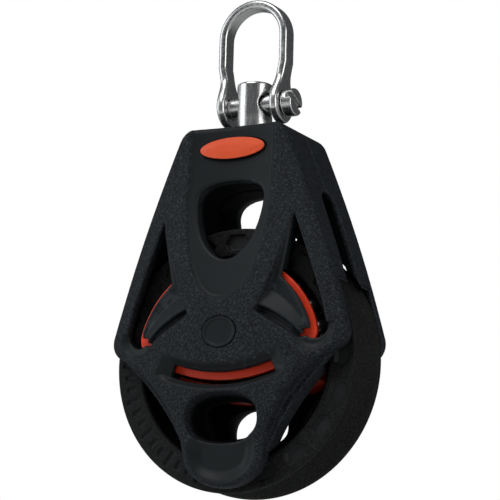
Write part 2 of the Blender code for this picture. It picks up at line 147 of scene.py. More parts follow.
CLEAR = 0.3                  # clearance between pieces

FLANK_TOP = 34.2             # where the head starts to widen
FLANK_SLOPE = 0.34
CROWN_POWER = 2.5
CHANNEL_FOOT = 8.6           # the lowest point of the channel down a cheek
CROWN_Z = (TONGUE_TIP, HOLE_Z, SLOT_BOTTOM, DISC_Z, CHANNEL_FOOT, 14.9, 24.5, HEAD_TOP)
CROWN_D = (7.7, 8.7, 9.4, HUB_D, 9.6, 9.15, 8.1, 7.4)
FLOOR_Z = (CHANNEL_FOOT, 14.9, 24.5, 32.2, HEAD_TOP)
FLOOR_D = (9.15, 8.25, 6.9, 6.35, 6.3)
FLOOR_HOLLOW = 0.010         # how fast the channel's floor rises to its sides
CORNER_FLOOR = 8.0           # the floor of the deep corner beside a strut
FACET_SLOPE = 0.38
FACET_LOWEST = 7.8
FOOT_CENTRE = (14.6, 3.2)    # the scooped rounding under a side window
FOOT_RADIUS = 3.6
FOOT_TOP = 4.2
FOOT_DEPTH = 0.8
SCOOP_DEPTH = 0.95           # the slot's scooped edge
DISH_DEPTH = 0.95            # the dish in the tongue
DISC_RECESS = 0.42
BADGE_RECESS = 0.40
BOSS_HALF = 6.8              # half the width of the boss round the post's nut
HOLE_TAPER = 0.30            # how fast the oval hole narrows inwards
BORE_FROM = 30.0             # the post's bore runs from here to the top
CAVITY_RADIUS = 4.9          # the hollow round the post's nut and washer
CAVITY = (29.8, 2.2)         # its middle height and half its height

POST_NECK = 2.0              # radius of the post inside the head
POST_BARREL_FROM = 31.6
CROSS_HOLE = 1.95            # radius of the pin's hole through the post
SCREW_SHANK = 0.9
SCREW_HEAD_THICK = 1.1
DRIVE_SLOT = 0.44            # width of the slot in a screw's head
PIN_SLOT = (0.96, 0.95)      # width and depth of the slot in the pin's head
PIN_TURN = radians(-24.0)    # how far that slot is turned from level

FLOOR_BELOW = 0.06           # metres from the block down to the floor
LIGHT_TARGET = Vector((0.0, 0.0, -0.035))
CAMERA_AZIMUTH = radians(27.89)
CAMERA_ELEVATION = radians(-11.87)
CAMERA_ROLL = radians(1.49)
CAMERA_PLACE = (0.17002, -0.32161, CENTRE_Z * MM - 0.05885)
LENS = 175.85


# ---- Outlines ----

def arc(centre, radius, start, end, count):
    angles = np.radians(np.linspace(start, end, count))
    return [(centre[0] + radius * cos(a), centre[1] + radius * sin(a)) for a in angles]


def bezier(start, handle, end, count):
    points = []
    for t in np.linspace(0.0, 1.0, count):
        a, b, c = (1 - t) ** 2, 2 * t * (1 - t), t * t
        points.append(tuple(a * p + b * q + c * r for p, q, r in zip(start, handle, end)))
    return points


def mirrored(half):
    """A closed outline from its right half, given from top to bottom."""
    return half + [(-x, z) for x, z in reversed(half) if x > 1e-6]


def cheek_outline():
    head = arc((HEAD_HALF - HEAD_CORNER, HEAD_TOP - HEAD_CORNER), HEAD_CORNER, 90, 23, 9)
    shoulder = arc(SHOULDER[:2], SHOULDER[2], 15, -66, 10)
    side = bezier(head[-1], (15.8, 18.3), shoulder[0], 12)[1:-1]
    cove = bezier(shoulder[-1], (9.6, -3.8), (TONGUE_HALF + 0.3, -12.4), 14)[1:]
    tip = [(TONGUE_HALF * cos(a), TONGUE_Z + (TONGUE_TIP - TONGUE_Z) * sin(a))
           for a in np.linspace(0.0, pi / 2, 12)]
    return mirrored(head + side + shoulder + cove + tip)


def ledge_outline():
    """The wider inner layer of the arms below the shoulders."""
    side = bezier((18.0, 0.6), (9.6, -7.0), (6.9, -14.2), 12)
    return mirrored([(0.0, 0.6)] + side + [(0.0, -14.2)])


def channel_outline():
    """The smooth recess that runs from the head's top to the hub."""
    side = [(7.0, HEAD_TOP + 3.0), (7.05, 25.5)]
    taper = bezier(side[-1], (6.9, 17.0), (4.7, 12.2), 12)[1:]
    foot = bezier(taper[-1], (3.0, CHANNEL_FOOT), (0.0, CHANNEL_FOOT), 8)[1:]
    return mirrored(side + taper + foot)


def teardrop_outline():
    crown_line = bezier((0.0, 26.9), (5.5, 26.9), (5.6, 24.0), 8)
    side = bezier(crown_line[-1], (5.2, 17.6), (1.7, 15.2), 12)[1:]
    foot = bezier(side[-1], (0.9, 14.7), (0.0, 14.7), 4)[1:]
    return mirrored(crown_line + side + foot)


def side_window_outline():
    outer = bezier((11.0, 21.0), (14.1, 13.0), (15.9, 7.6), 8)
    foot = arc((14.7, 4.0), 2.0, 5, -160, 12)
    ring = arc((0.0, 0.0), WINDOW_RADIUS, 14, 47, 8)
    inner = bezier((9.2, 11.6), (9.9, 14.5), (11.0, 21.0), 6)[:-1]
    return outer + foot + ring + inner


def corner_outline():
    """The deep corner between a strut of the V, the facet and the side window."""
    strut = [(5.6, 6.4), (7.2, 9.6), (8.3, 12.6), (10.4, 19.0)]
    window = [(12.4, 12.0), (14.6, 6.4), (14.6, 2.6), (12.4, 2.2)]
    return strut + window


def facet_outline():
    """The smooth sloping triangle between the hub's upper edge and the side window."""
    outer = arc((0.0, 0.0), WINDOW_RADIUS - 0.45, 13, 47, 7)
    return hub_arc_points(5.6, 12.4, 8) + [(14.0, 2.9)] + outer + [(8.3, 10.6)]


def hub_arc_points(start, end, count):
    height, radius = HUB_ARC
    return [(x, height + sqrt(radius ** 2 - x * x)) for x in np.linspace(start, end, count)]


def smile_outline(half_width, half_height, rise=0.0):
    """A curved slot's outline, hollow side up."""
    centre = (0.0, SLOT_BOTTOM + SLOT_RADIUS + rise)
    half = np.degrees(half_width / SLOT_RADIUS)
    low = arc(centre, SLOT_RADIUS + half_height, -90 - half, -90 + half, 25)
    high = arc(centre, SLOT_RADIUS - half_height, -90 + half, -90 - half, 25)
    return low + high


def oval(centre_z, half_width, half_height, count=64, power=2.0):
    points = []
    for i in range(count):
        a = 2.0 * pi * i / count
        c, s = cos(a), sin(a)
        reach = (abs(c) ** power + abs(s) ** power) ** (-1.0 / power)
        points.append((half_width * c * reach, centre_z + half_height * s * reach))
    return points


def dish_outline():
    """The smooth dished end of the tongue, below the oval hole."""
    side = [(4.7, -11.2), (6.0, -13.0)]
    tip = bezier((6.0, -13.0), (6.1, -18.9), (0.0, TONGUE_TIP + 0.4), 12)[1:]
    return mirrored(side + tip)


def corner_centre():
    """The centre of the small arc between the D's loaded arc and its return track."""
    upper, lower = TRACK_RADIUS - CORNER_RADIUS, RETURN_RADIUS - CORNER_RADIUS
    z = (upper ** 2 - lower ** 2 + RETURN_CENTRE ** 2) / (2.0 * RETURN_CENTRE)
    return sqrt(upper ** 2 - z ** 2), z


def d_outline(offset):
    x, z = corner_centre()
    upper = np.degrees(atan2(z, x))
    lower = np.degrees(atan2(z - RETURN_CENTRE, x))
    small = CORNER_RADIUS + offset
    points = arc((0, 0), TRACK_RADIUS + offset, upper, 180 - upper, 73)
    points += arc((-x, z), small, 180 - upper, 180 - lower, 13)[1:-1]
    points += arc((0, RETURN_CENTRE), RETURN_RADIUS + offset, -180 - lower, lower, 41)
    points += arc((x, z), small, lower, upper, 13)[1:-1]
    return points


def guide_outline():
    inner = RETURN_RADIUS + BALL_RADIUS + RACE_CLEARANCE
    rail = arc((0, RETURN_CENTRE), inner, -116, -64, 41)
    return rail + arc((0, RETURN_CENTRE), GUIDE_OUTER, -64, -116, 41)


# ---- Signed distances ----

def polygon_distance(x, z, outline):
    """Distance to a closed outline, negative inside."""
    x, z = np.broadcast_arrays(x, z)
    nearest = np.full(x.shape, 1e9)
    inside = np.zeros(x.shape, bool)
    for (ax, az), (bx, bz) in zip(outline, outline[1:] + outline[:1]):
        ex, ez = bx - ax, bz - az
        wx, wz = x - ax, z - az
        t = np.clip((wx * ex + wz * ez) / (ex * ex + ez * ez + 1e-18), 0.0, 1.0)
        nearest = np.minimum(nearest, (wx - ex * t) ** 2 + (wz - ez * t) ** 2)
        crosses = ((az > z) != (bz > z)) & (x < (bx - ax) * (z - az) / (bz - az + 1e-18) + ax)
        inside ^= crosses
    return np.sqrt(nearest) * np.where(inside, -1.0, 1.0)


def blend_max(a, b, radius):
    h = np.clip(0.5 + 0.5 * (a - b) / radius, 0.0, 1.0)
    return b + (a - b) * h + radius * h * (1.0 - h)


def blend_min(a, b, radius):
    return -blend_max(-a, -b, radius)


def ease(t):
    t = np.clip(t, 0.0, 1.0)
    return t * t * (3.0 - 2.0 * t)


def smooth_curve(at, places, values):
    """A smooth curve through values at rising places."""
    places, values = np.array(places, float), np.array(values, float)
    slopes = np.gradient(values, places)
    at = np.clip(at, places[0], places[-1])
    i = np.clip(np.searchsorted(places, at) - 1, 0, len(places) - 2)
    width = places[i + 1] - places[i]
    t = (at - places[i]) / width
    h00, h10 = (1 + 2 * t) * (1 - t) ** 2, t * (1 - t) ** 2
    h01, h11 = t * t * (3 - 2 * t), t * t * (t - 1)
    return h00 * values[i] + h10 * width * slopes[i] + h01 * values[i + 1] + h11 * width * slopes[i + 1]


# ---- Meshing ----

CORNERS = [(i, j, k) for i in (0, 1) for j in (0, 1) for k in (0, 1)]
EDGES = [(a, b) for a in CORNERS for b in CORNERS if a < b and sum(p != q for p, q in zip(a, b)) == 1]


def surface_nets(field, low, step):
    """Vertices and quads of the zero surface of a sampled distance."""
    shape = np.array(field.shape) - 1
    view = {c: field[c[0]:c[0] + shape[0], c[1]:c[1] + shape[1], c[2]:c[2] + shape[2]] for c in CORNERS}
    inside = sum((view[c] < 0).astype(np.int8) for c in CORNERS)
    active = (inside > 0) & (inside < 8)
    cells = np.argwhere(active)
    total = np.zeros((len(cells), 3))
    count = np.zeros(len(cells))
    for a, b in EDGES:
        fa, fb = view[a][active], view[b][active]
        crossed = (fa < 0) != (fb < 0)
        t = np.where(crossed, fa / np.where(crossed, fa - fb, 1.0), 0.0)
        point = np.array(a) + t[:, None] * (np.array(b) - np.array(a))
        total += point * crossed[:, None]
        count += crossed
    vertices = low + (cells + total / count[:, None]) * step
    index = np.full(shape, -1, np.int64)
    index[active] = np.arange(len(cells))
    quads = []
    for axis in range(3):
        u, v = (axis + 1) % 3, (axis + 2) % 3
        here = [slice(1, -1)] * 3
        here[axis] = slice(0, -1)
        ahead = list(here)
        ahead[axis] = slice(1, None)
        f0, f1 = field[tuple(here)], field[tuple(ahead)]
        change = np.argwhere((f0 < 0) != (f1 < 0))
        rising = (f0 < 0)[tuple(change.T)]
        base = change.copy()
        base[:, u] += 1
        base[:, v] += 1
        ring = []
        for du, dv in ((-1, -1), (0, -1), (0, 0), (-1, 0)):
            cell = base.copy()
            cell[:, u] += du
            cell[:, v] += dv
            ring.append(index[tuple(cell.T)])
        ring = np.stack(ring, 1)
        ring[~rising] = ring[~rising][:, ::-1]
        quads.append(ring)
    return vertices, np.concatenate(quads)


def settle(points, distance, rounds=3, reach=0.02):
    """Moves points onto the zero surface along the distance's slope."""
    for _ in range(rounds):
        value = distance(*points.T)
        slope = np.empty_like(points)
        for axis in range(3):
            shift = np.zeros(3)
            shift[axis] = reach
            slope[:, axis] = (distance(*(points + shift).T) - distance(*(points - shift).T)) / (2 * reach)
        size = np.maximum((slope ** 2).sum(1), 0.05)
        move = slope * (value / size)[:, None]
        points = points - np.clip(move, -0.15, 0.15)
    return points


def mesh_of(distance, low, high, step):
    """Vertices in millimetres and quads of a solid given by its distance function of x, y and z."""
    low, high = np.array(low, float), np.array(high, float)
    counts = np.ceil((high - low) / step).astype(int) + 1
    x, y, z = (low[i] + step * np.arange(counts[i]) for i in range(3))
    field = distance(x[:, None, None], y[None, :, None], z[None, None, :])
    field = np.broadcast_to(field, tuple(counts)).astype(np.float64)
    points, quads = surface_nets(field, low, step)
    return settle(points, distance), quads


def new_piece(name, points, quads, material, body, replaces, attributes=None):
    """A smooth-shaded mesh object in the frame, from points in millimetres about the sheave's centre."""
    mesh = bpy.data.meshes.new(name)
    placed = (points + np.array([0.0, 0.0, CENTRE_Z])) * MM
    mesh.from_pydata(placed.tolist(), [], quads.tolist())
    for key, values in (attributes or {}).items():
        layer = mesh.attributes.new(key, "FLOAT", "POINT")
        layer.data.foreach_set("value", values.astype(np.float32))
    mesh.shade_smooth()
    piece = bpy.data.objects.new(name, mesh)
    bpy.context.scene.collection.objects.link(piece)
    return dress(piece, material, body, replaces)


def dress(piece, material, body, replaces):
    piece.data.materials.clear()
    piece.data.materials.append(material)
    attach(piece, body)
    if replaces:
        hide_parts(replaces)
    return piece


# ---- Materials ----

def node(tree, kind, **values):
    made = tree.nodes.new(kind)
    for key, value in values.items():
        if key in made.inputs:
            made.inputs[key].default_value = value
        else:
            setattr(made, key, value)
    return made


def new_material(name, **values):
    material = bpy.data.materials.new(name)
    material.use_nodes = True
    tree = material.node_tree
    shader = tree.nodes["Principled BSDF"]
    for key, value in values.items():
        shader.inputs[key.replace("_", " ")].default_value = value
    return material, tree, shader


def ramp(tree, source, stops):
    made = tree.nodes.new("ShaderNodeValToRGB")
    while len(made.color_ramp.elements) < len(stops):
        made.color_ramp.elements.new(0.5)
    for element, (at, colour) in zip(made.color_ramp.elements, stops):
        element.position = at
        element.color = (*colour, 1.0)
    tree.links.new(source, made.inputs["Fac"])
    return made.outputs["Color"]


def noise(tree, scale, detail=3.0, roughness=0.6, stretch=None):
    coordinates = tree.nodes.new("ShaderNodeTexCoord")
    source = coordinates.outputs["Object"]
    if stretch:
        mapping = node(tree, "ShaderNodeMapping", Scale=stretch)
        tree.links.new(source, mapping.inputs["Vector"])
        source = mapping.outputs["Vector"]
    made = node(tree, "ShaderNodeTexNoise", Scale=scale, Detail=detail, Roughness=roughness)
    tree.links.new(source, made.inputs["Vector"])
    return made.outputs["Fac"]


def map_range(tree, source, low, high, new_low, new_high):
    made = tree.nodes.new("ShaderNodeMapRange")
    for key, value in zip(("From Min", "From Max", "To Min", "To Max"), (low, high, new_low, new_high)):
        made.inputs[key].default_value = value
    tree.links.new(source, made.inputs["Value"])
    return made.outputs["Result"]


def mix_colour(tree, factor, first, second):
    made = tree.nodes.new("ShaderNodeMix")
    made.data_type = "RGBA"
    tree.links.new(factor, made.inputs["Factor"])
    for source, socket in ((first, made.inputs[6]), (second, made.inputs[7])):
        if isinstance(source, tuple):
            socket.default_value = (*source, 1.0)
        else:
            tree.links.new(source, socket)
    return made.outputs[2]


def math(tree, operation, first, second):
    made = tree.nodes.new("ShaderNodeMath")
    made.operation = operation
    for value, socket in ((first, made.inputs[0]), (second, made.inputs[1])):
        if isinstance(value, (int, float)):
            socket.default_value = value
        else:
            tree.links.new(value, socket)
    return made.outputs[0]


def bump(tree, shader, height, distance, strength=1.0):
    made = node(tree, "ShaderNodeBump", Distance=distance)
    if isinstance(strength, float):
        made.inputs["Strength"].default_value = strength
    else:
        tree.links.new(strength, made.inputs["Strength"])
    tree.links.new(height, made.inputs["Height"])
    tree.links.new(made.outputs["Normal"], shader.inputs["Normal"])


def worn_edges(tree, low=0.52, high=0.62):
    """White where the surface is convex, for light wear along edges."""
    geometry = tree.nodes.new("ShaderNodeNewGeometry")
    return map_range(tree, geometry.outputs["Pointiness"], low, high, 0.0, 1.0)


def moulded_nylon(name, dark, light, satin):
    """Glass-filled nylon: where grained, a dark base with pale specks that are painted glints of the grained
    surface; satin where the mould was polished.

    The attribute "polished" marks the satin faces and "inner" the faces inside the block, which get painted
    shade: a darker colour and little specular.
    """
    material, tree, shader = new_material(name, IOR=1.45)
    specks = noise(tree, 3400.0, 2.0, 0.8)
    patches = noise(tree, 260.0, 4.0, 0.55)
    middle = tuple((d + s) / 3.2 for d, s in zip(dark, light))
    # Painted highlights: the pale specks stand in for the glints of the grained surface.
    grain_and_painted_glints = ramp(tree, specks, [(0.36, dark), (0.52, middle), (0.66, light)])
    cloud = ramp(tree, patches, [(0.3, satin), (0.7, tuple(c * 1.25 for c in satin))])
    polished = node(tree, "ShaderNodeAttribute", attribute_name="polished").outputs["Fac"]
    inner = node(tree, "ShaderNodeAttribute", attribute_name="inner").outputs["Fac"]
    base = mix_colour(tree, polished, grain_and_painted_glints, cloud)
    # Painted shade: faces marked "inner" are darkened towards a third of the dark colour and lose most of
    # their specular.
    base = mix_colour(tree, math(tree, "MULTIPLY", inner, 0.86), base, tuple(c * 0.3 for c in dark))
    tree.links.new(map_range(tree, inner, 0.0, 1.0, 0.24, 0.03), shader.inputs["Specular IOR Level"])
    faded = math(tree, "MULTIPLY", worn_edges(tree), map_range(tree, patches, 0.35, 0.65, 0.15, 0.5))
    tree.links.new(mix_colour(tree, faded, base, tuple(c * 1.5 for c in light)), shader.inputs["Base Color"])
    rough = map_range(tree, polished, 0.0, 1.0, 0.60, 0.46)
    tree.links.new(math(tree, "ADD", rough, map_range(tree, specks, 0.3, 0.7, -0.06, 0.06)),
                   shader.inputs["Roughness"])
    coarse = math(tree, "SUBTRACT", 1.0, polished)
    bump(tree, shader, noise(tree, 2400.0, 4.0, 0.7), 0.00016, map_range(tree, coarse, 0.0, 1.0, 0.08, 0.85))
    return material


def red_plastic(name, colour, edge):
    material, tree, shader = new_material(name, Specular_IOR_Level=0.5, IOR=1.48)
    clouds = noise(tree, 420.0, 3.0, 0.5)
    body = ramp(tree, clouds, [(0.3, colour), (0.7, tuple(min(1.0, c * 1.12) for c in colour))])
    tree.links.new(mix_colour(tree, worn_edges(tree, 0.53, 0.66), body, edge), shader.inputs["Base Color"])
    tree.links.new(map_range(tree, clouds, 0.3, 0.7, 0.30, 0.40), shader.inputs["Roughness"])
    bump(tree, shader, noise(tree, 1500.0, 2.0), 0.00003, 0.35)
    return material


def stainless(name, stretch, tone):
    """Polished steel with fine brushing along one direction and faint wear."""
    material, tree, shader = new_material(name, Metallic=1.0)
    brushing = noise(tree, 900.0, 4.0, 0.65, stretch)
    smudges = noise(tree, 240.0, 3.0, 0.5)
    colour = ramp(tree, brushing, [(0.35, tuple(c * 0.86 for c in tone)), (0.65, tone)])
    tree.links.new(colour, shader.inputs["Base Color"])
    streak = map_range(tree, brushing, 0.3, 0.7, 0.20, 0.34)
    rough = math(tree, "ADD", streak, map_range(tree, smudges, 0.4, 0.7, -0.03, 0.07))
    tree.links.new(rough, shader.inputs["Roughness"])
    bump(tree, shader, brushing, 0.00002, 0.5)
    return material


def glossy_ball(name):
    material, tree, shader = new_material(name, Specular_IOR_Level=0.6, Coat_Weight=0.4, Coat_Roughness=0.08)
    clouds = noise(tree, 700.0, 3.0, 0.5)
    tree.links.new(ramp(tree, clouds, [(0.3, (0.006, 0.006, 0.007)), (0.7, (0.014, 0.014, 0.016))]),
                   shader.inputs["Base Color"])
    tree.links.new(map_range(tree, clouds, 0.3, 0.7, 0.16, 0.28), shader.inputs["Roughness"])
    bump(tree, shader, clouds, 0.00002, 0.3)
    return material


# Nylon colours: dark base, pale specks painted as glints of the grained faces, and satin.
BLACK = moulded_nylon("black_nylon", (0.0012, 0.0015, 0.0019), (0.040, 0.049, 0.060),
                      (0.010, 0.0128, 0.0145))
WHEEL = moulded_nylon("wheel_nylon", (0.0012, 0.0013, 0.0014), (0.019, 0.020, 0.021),
                      (0.0200, 0.0215, 0.0220))
RED = red_plastic("red_acetal", (0.88, 0.055, 0.018), (0.85, 0.12, 0.05))
BADGE_RED = red_plastic("badge_enamel", (0.97, 0.115, 0.035), (0.55, 0.02, 0.01))
STEEL_UP = stainless("stainless_drawn", (9.0, 9.0, 0.5), (0.84, 0.84, 0.83))
STEEL_ACROSS = stainless("stainless_turned", (0.5, 9.0, 9.0), (0.80, 0.80, 0.79))
STEEL_FORGED = stainless("stainless_forged", (2.0, 2.0, 2.0), (0.78, 0.78, 0.77))
BALL = glossy_ball("ball_acetal")


# ---- Cheeks ----

CHEEK = cheek_outline()
CHANNEL = channel_outline()
TEARDROP = teardrop_outline()
SIDE_WINDOW = side_window_outline()
FACET = facet_outline()
LEDGE = ledge_outline()
CORNER = corner_outline()
SLOT = smile_outline(8.6, 0.95)
SCOOP = smile_outline(10.9, 2.1, 0.15)
HOLE = oval(HOLE_Z, 6.0, 3.7, 48, 2.4)
DISH = dish_outline()
DISC = oval(DISC_Z, *DISC_HALF)
BADGE = oval(BADGE_Z, *BADGE_HALF)
RACE_POCKET = d_outline(FLANGE_LIP + CLEAR)


def crowned_face(side, z):
    """A cheek's outer face before anything is sunk into it: highest in the middle, EDGE_D at the sides."""
    half_width = np.clip(HEAD_HALF + (FLANK_TOP - z) * FLANK_SLOPE, HEAD_HALF, SHOULDER_HALF)
    crown = smooth_curve(z, CROWN_Z, CROWN_D)
    return EDGE_D + (crown - EDGE_D) * (1.0 - np.clip(side / half_width, 0.0, 1.0) ** CROWN_POWER)


def sink_channel(face, channel, side, z):
    floor = smooth_curve(z, FLOOR_Z, FLOOR_D)
    floor = floor + FLOOR_HOLLOW * side ** 2
    return face + (np.minimum(floor, face) - face) * ease(-channel / 0.55 + 0.5)


def sink_corner(face, corner, facet, x, z):
    """The deep corner beside a strut, with the facet sloping down to the side window in it."""
    above_hub = np.hypot(x, z - HUB_ARC[0]) - HUB_ARC[1]
    slope = np.maximum(face - 0.35 - FACET_SLOPE * np.clip(above_hub, 0.0, 5.0), FACET_LOWEST)
    floor = np.minimum(face, CORNER_FLOOR)
    floor = floor + (slope - floor) * ease(-facet / 0.35 + 0.5)
    return face + (floor - face) * ease(-corner / 0.3 + 0.5)


def in_window_foot(side, z):
    """1 in the scooped rounding under a side window, fading to 0 round it."""
    away = np.hypot(side - FOOT_CENTRE[0], z - FOOT_CENTRE[1])
    return ease((FOOT_RADIUS - away) / 1.6) * (z < FOOT_TOP)


def cheek_fields(x, z):
    """Everything about a cheek that depends on x and z alone: edge, openings, outer face and polish."""
    side = np.abs(x)
    openings = {"teardrop": polygon_distance(x, z, TEARDROP), "side": polygon_distance(side, z, SIDE_WINDOW),
                "slot": polygon_distance(x, z, SLOT), "hole": polygon_distance(x, z, HOLE)}
    channel = polygon_distance(x, z, CHANNEL)
    corner = polygon_distance(side, z, CORNER)
    facet = polygon_distance(side, z, FACET)
    scoop = polygon_distance(x, z, SCOOP)
    dish = polygon_distance(x, z, DISH)
    disc = polygon_distance(x, z, DISC)
    badge = polygon_distance(x, z, BADGE)
    foot = in_window_foot(side, z)
    face = sink_channel(crowned_face(side, z), channel, side, z)
    face = sink_corner(face, corner, facet, x, z)
    face = face - FOOT_DEPTH * foot * (facet > 0.3)
    into_scoop = np.clip(-scoop, 0.0, None)
    share = into_scoop / (into_scoop + np.clip(openings["slot"], 0.0, None) + 1e-6)
    face = face - SCOOP_DEPTH * ease(share)
    face = face - DISH_DEPTH * ease(-dish / 2.4)
    ring = ease(1.0 - np.abs(disc - 0.1) / 0.28)
    face = face - DISC_RECESS * ease(-(disc - 0.15) / 0.1) - 0.1 * ring
    face = face - BADGE_RECESS * ease(-(badge - 0.15) / 0.15)
    polish = np.maximum.reduce([ease(-channel / 0.3), ease(-corner / 0.3), ease(-scoop / 0.3),
                                ease(-dish / 0.6), ease(-disc / 0.2), foot * (openings["side"] > -0.1)])
    return polygon_distance(x, z, CHEEK), openings, face, polish


def inner_side(x, d, z):
    """Negative outwards of a cheek's inner faces: the plate, the tongue, the struts and the head."""
    from_centre = np.hypot(x, z)
    arch = STRUT_D - np.where(z > ARCH_Z, np.hypot(d, z - ARCH_Z), d)
    boss = np.maximum(BOSS_Z - z, np.abs(x) - BOSS_HALF)
    head = np.maximum(HEAD_D - d, blend_min(arch, boss, 1.2))
    strut = np.maximum(STRUT_D - d, RECESS_RADIUS - from_centre)
    below_guide = GUIDE_OUTER + 0.4 - np.hypot(x, z - RETURN_CENTRE)
    tongue = np.maximum(np.maximum(TONGUE_D - d, from_centre - BORE_RADIUS + 0.5), below_guide)
    return np.minimum(np.minimum(PLATE_D - d, tongue), np.minimum(strut, np.maximum(head, ARCH_Z - z)))


def cheek_distance(x, d, z):
    edge, openings, face, _ = cheek_fields(x, z)
    solid = blend_max(edge, (d - face) * 0.92, 0.95)
    solid = np.minimum(solid, np.maximum(polygon_distance(x, z, LEDGE), d - LEDGE_D))
    solid = blend_max(solid, inner_side(x, d, z), 0.3)
    race_pocket = np.maximum(polygon_distance(x, z, RACE_POCKET), d - FLANGE_D[1] - CLEAR)
    solid = np.maximum(solid, -race_pocket)
    taper = HOLE_TAPER * np.clip(face - d - 0.6, 0.0, 3.0)
    cuts = [(-openings["teardrop"], 0.45), (-openings["side"], 0.40), (-openings["slot"], 0.22),
            (-openings["hole"] - taper, 0.45)]
    for cut, rounding in cuts:
        solid = blend_max(solid, cut, rounding)
    from_post = np.hypot(x, d)
    bore = np.where(z > BORE_FROM, POST_RADIUS + CLEAR - from_post, -1.0)
    solid = blend_max(solid, bore, 0.35)
    cavity = np.maximum(from_post - CAVITY_RADIUS, np.abs(z - CAVITY[0]) - CAVITY[1])
    return np.maximum(solid, -cavity)


def make_cheeks():
    low = (-SHOULDER_HALF - 0.5, -0.2, TONGUE_TIP - 0.5)
    high = (SHOULDER_HALF + 0.5, HUB_D + 0.5, HEAD_TOP + 0.5)
    points, quads = mesh_of(cheek_distance, low, high, 0.25)
    x, d, z = points.T
    edge, _, face, polish = cheek_fields(x, z)
    polish = polish * (d > PLATE_D + 0.6)
    # Painted shade: faces more than 0.9 mm below the outer face, away from the head's top and the edge, are
    # marked "inner" to be darkened.
    inner = ease((face - d - 0.9) / 1.3) * ease((HEAD_TOP - 0.8 - z) / 0.8)
    inner = inner * ease((-edge - 0.4) / 0.5)
    for name, side in (("front_cheek", -1), ("rear_cheek", 1)):
        placed = points * np.array([1.0, side, 1.0])
        faces = quads if side > 0 else quads[:, ::-1]
        piece = new_piece(f"{name}_shell", placed, faces, BLACK, "block", name,
                          {"polished": polish, "inner": inner})
        if side > 0:
            rear_screw_holes(piece)


def rear_screw_holes(piece):
    """Countersinks for the two head screws in the rear cheek."""
    above, deep = 0.001, 2.8 * MM
    for node_name in ("head_screw_left", "head_screw_right"):
        low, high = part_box(node_name)
        middle, radius = (low + high) / 2.0, (high.x - low.x) / 2.0 + CLEAR * MM
        bm = bmesh.new()
        where = Matrix.Translation((middle.x, high.y + above, middle.z)) @ Matrix.Rotation(pi / 2, 4, "X")
        bmesh.ops.create_cone(bm, cap_ends=True, segments=48, radius1=radius, radius2=radius,
                              depth=2.0 * above + deep, matrix=where)
        mesh = bpy.data.meshes.new("countersink")
        bm.to_mesh(mesh)
        bm.free()
        tool = bpy.data.objects.new(f"countersink_{node_name}", mesh)
        bpy.context.scene.collection.objects.link(tool)
        cut = piece.modifiers.new("countersink", "BOOLEAN")
        cut.object = tool
        cut.solver = "EXACT"
        bpy.context.view_layer.update()
        evaluated = piece.evaluated_get(bpy.context.evaluated_depsgraph_get())
        result = bpy.data.meshes.new_from_object(evaluated)
        piece.modifiers.clear()
        piece.data = result
        bpy.data.objects.remove(tool)


# ---- Sheave ----

def rim_pocket(radius, angle, side):
    """How far a side face is pressed in at a point: six-sided pockets, and plain dashes on one stretch."""
    pitch = 2.0 * pi / POCKETS
    along = (angle - np.round(angle / pitch) * pitch) * radius
    out = radius - POCKET_RADIUS
    corner = np.abs(along) + np.abs(out) * 0.68
    pocket = np.maximum(np.abs(out) - POCKET_HALF[1], corner - POCKET_HALF[0])
    pressed = ease(-pocket / 0.26 + 0.35) * POCKET_DEPTH
    if side > 0:
        return pressed
    pitch = radians(6.0)
    number = np.round(angle / pitch)
    along = (angle - number * pitch) * radius
    half_length = np.where(number % 3 == 0, DASH_HALF_LENGTH[1], DASH_HALF_LENGTH[0])
    dash = np.maximum(np.abs(along) - DASH_HALF_WIDTH, np.abs(out) - half_length)
    degrees = np.degrees(angle) % 360.0
    dashed = (degrees > DASHES[0]) & (degrees < DASHES[1])
    return np.where(dashed, ease(-dash / 0.2 + 0.35) * DASH_DEPTH, pressed)


def sheave_profile(rim_edge):
    """The wheel's section as radius and width, round from the front face over the groove to the bore."""
    lip = SHEAVE_HALF - 0.7
    face = np.concatenate([np.linspace(BORE_RADIUS, BORE_RADIUS + 0.5, 5)[:-1],
                           np.linspace(BORE_RADIUS + 0.5, rim_edge, 34)])
    front = [(r, -SHEAVE_HALF) for r in face]
    bead = [(SHEAVE_RADIUS - 0.3 + 0.3 * sin(a), -SHEAVE_HALF + 0.3 * (1 - cos(a)))
            for a in np.linspace(0.2, pi / 2, 4)]
    half = front + bead + [(SHEAVE_RADIUS, -SHEAVE_HALF + 0.45)]
    groove = [(GROOVE_RADIUS + (SHEAVE_RADIUS - GROOVE_RADIUS) * abs(y / lip) ** 2.2, y)
              for y in np.linspace(-lip, lip, 41)]
    back = [(r, -y) for r, y in reversed(half)]
    bore = [(BORE_RADIUS, y) for y in np.linspace(SHEAVE_HALF, -SHEAVE_HALF, 9)[1:-1]]
    return np.array(half + groove[1:-1] + back + bore)


